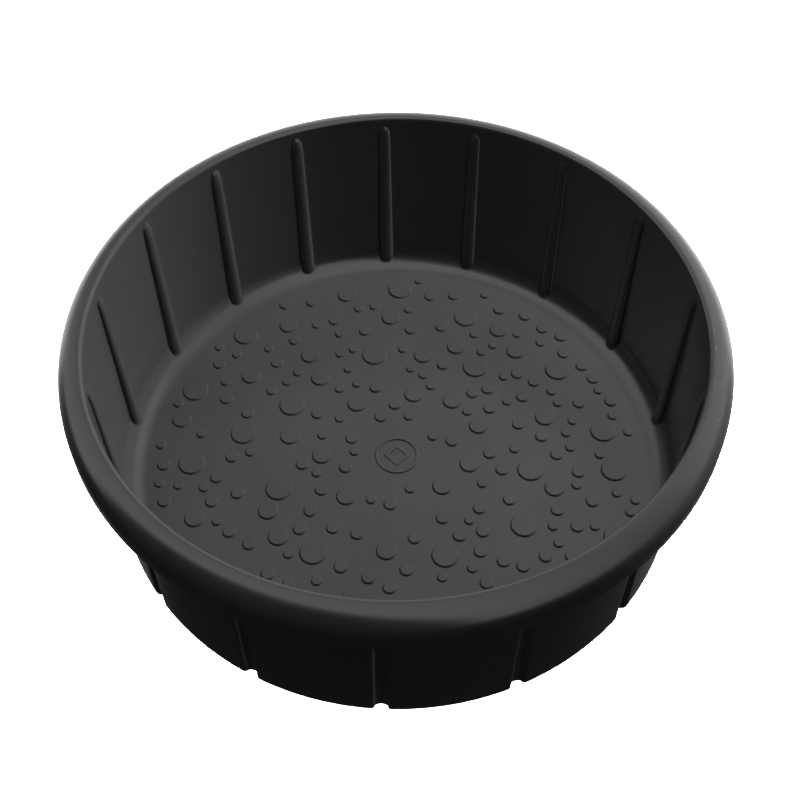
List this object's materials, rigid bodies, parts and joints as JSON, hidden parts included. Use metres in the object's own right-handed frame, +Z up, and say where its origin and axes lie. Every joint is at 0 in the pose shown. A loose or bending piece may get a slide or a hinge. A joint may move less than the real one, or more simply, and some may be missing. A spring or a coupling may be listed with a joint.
{
  "type": "mortar mixing tub",
  "caption": "Round open mixing tub moulded in one black plastic skin, with a fluted upright wall, a broad rolled rim and raised round discs on a flat floor.",
  "frame": {"origin": "centre of the tub on the plane that it stands on", "axes": "+Z up along the tub's own axis, +Y towards the side where the wall flutes stand closest together"},
  "size_m": [0.9149, 0.915, 0.317],
  "materials": {
    "moulded_plastic": "black polyethylene, satin, with a fine moulded grain"
  },
  "bodies": {
    "root": {"floor_panel": "moulded_plastic", "floor_heel": "moulded_plastic", "wall_panel_01": "moulded_plastic", "wall_panel_02": "moulded_plastic", "wall_panel_03": "moulded_plastic", "wall_panel_04": "moulded_plastic", "wall_panel_05": "moulded_plastic", "wall_panel_06": "moulded_plastic", "wall_panel_07": "moulded_plastic", "wall_panel_08": "moulded_plastic", "wall_panel_09": "moulded_plastic", "wall_panel_10": "moulded_plastic", "wall_panel_11": "moulded_plastic", "wall_panel_12": "moulded_plastic", "wall_panel_13": "moulded_plastic", "wall_panel_14": "moulded_plastic", "wall_panel_15": "moulded_plastic", "wall_panel_16": "moulded_plastic", "wall_flute_01": "moulded_plastic", "wall_flute_02": "moulded_plastic", "wall_flute_03": "moulded_plastic", "wall_flute_04": "moulded_plastic", "wall_flute_05": "moulded_plastic", "wall_flute_06": "moulded_plastic", "wall_flute_07": "moulded_plastic", "wall_flute_08": "moulded_plastic", "wall_flute_09": "moulded_plastic", "wall_flute_10": "moulded_plastic", "wall_flute_11": "moulded_plastic", "wall_flute_12": "moulded_plastic", "wall_flute_13": "moulded_plastic", "wall_flute_14": "moulded_plastic", "wall_flute_15": "moulded_plastic", "wall_flute_16": "moulded_plastic", "rim_edge": "moulded_plastic", "rim_crown": "moulded_plastic", "rim_shoulder": "moulded_plastic", "rim_skirt": "moulded_plastic", "large_floor_discs": "moulded_plastic", "medium_floor_discs": "moulded_plastic", "small_floor_discs": "moulded_plastic", "tiny_floor_discs": "moulded_plastic", "centre_medallion": "moulded_plastic"}
  },
  "joints": []
}
